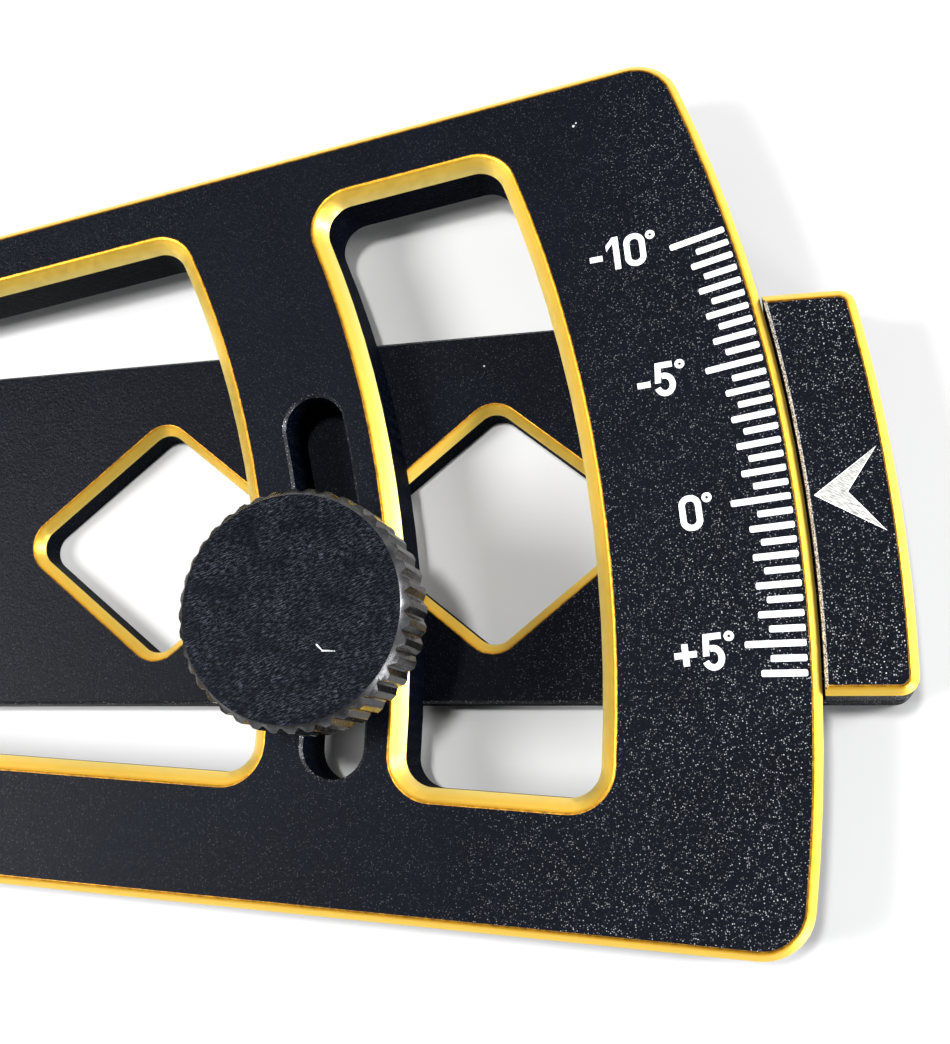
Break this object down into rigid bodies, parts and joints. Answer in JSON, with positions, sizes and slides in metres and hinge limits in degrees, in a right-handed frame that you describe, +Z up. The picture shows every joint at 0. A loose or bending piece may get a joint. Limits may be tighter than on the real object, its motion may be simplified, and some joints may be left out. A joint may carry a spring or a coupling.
{
  "type": "sliding bevel",
  "caption": "Bevel gauge: a black fan plate with a degree scale swings on an arm and locks under a serrated knob; gold bevelled windows.",
  "frame": {"origin": "pivot axis at the arm's flat underside", "axes": "+X along the zero line from the pivot to the pointer, +Y towards the -10 degree end of the scale, +Z up out of the scale face"},
  "size_m": [0.1915, 0.0896, 0.0234],
  "materials": {
    "black_anodised": "bead-blasted black anodised, gold bevels cut after anodising",
    "marker_silver": "bare metal, fine hatch",
    "black_steel": "black oxide",
    "bright_steel": "turned",
    "bronze": "reamed",
    "brass": "turned",
    "nylon": "moulded",
    "black_knob": "black anodised, brushed face, serrated skirt",
    "white_fill": "white paint fill"
  },
  "bodies": {
    "arm": {"swing_arm": "black_anodised", "pointer_block": "black_anodised", "pointer_arrow": "marker_silver", "block_screws": "black_steel", "block_dowels": "bright_steel", "clamp_stud": "bright_steel", "pivot_post": "bright_steel", "thrust_washer": "nylon", "pivot_washer": "bright_steel", "pivot_screw": "black_steel"},
    "fan": {"fan_plate": "black_anodised", "pivot_bush": "bronze", "scale_ticks_short": "white_fill", "scale_ticks_medium": "white_fill", "scale_ticks_long": "white_fill", "numeral_minus_10": "white_fill", "numeral_minus_5": "white_fill", "numeral_0": "white_fill", "numeral_plus_5": "white_fill"},
    "pressure_washer": {"clamp_washer": "bright_steel", "clamp_pad": "nylon"},
    "clamp_knob": {"knob": "black_knob", "knob_insert": "brass", "retaining_ring": "bright_steel"}
  },
  "joints": [
    {"name": "fan_swing", "type": "hinge", "parent": "arm", "child": "fan", "pos_m": [0, 0, 0.0041], "axis": [0, 0, 1], "range_deg": [-10, 6]},
    {"name": "washer_lift", "type": "slide", "parent": "arm", "child": "pressure_washer", "axis": [0, 0, 1], "range_m": [0, 0.001]},
    {"name": "knob_turn", "type": "hinge", "parent": "pressure_washer", "child": "clamp_knob", "pos_m": [0.11407, -0.00638, 0.013], "axis": [0, 0, 1], "range_deg": [0, 360]}
  ],
  "couplings": [
    {"joint": "washer_lift", "follows": "knob_turn", "m_per_rad": 0.000159}
  ]
}
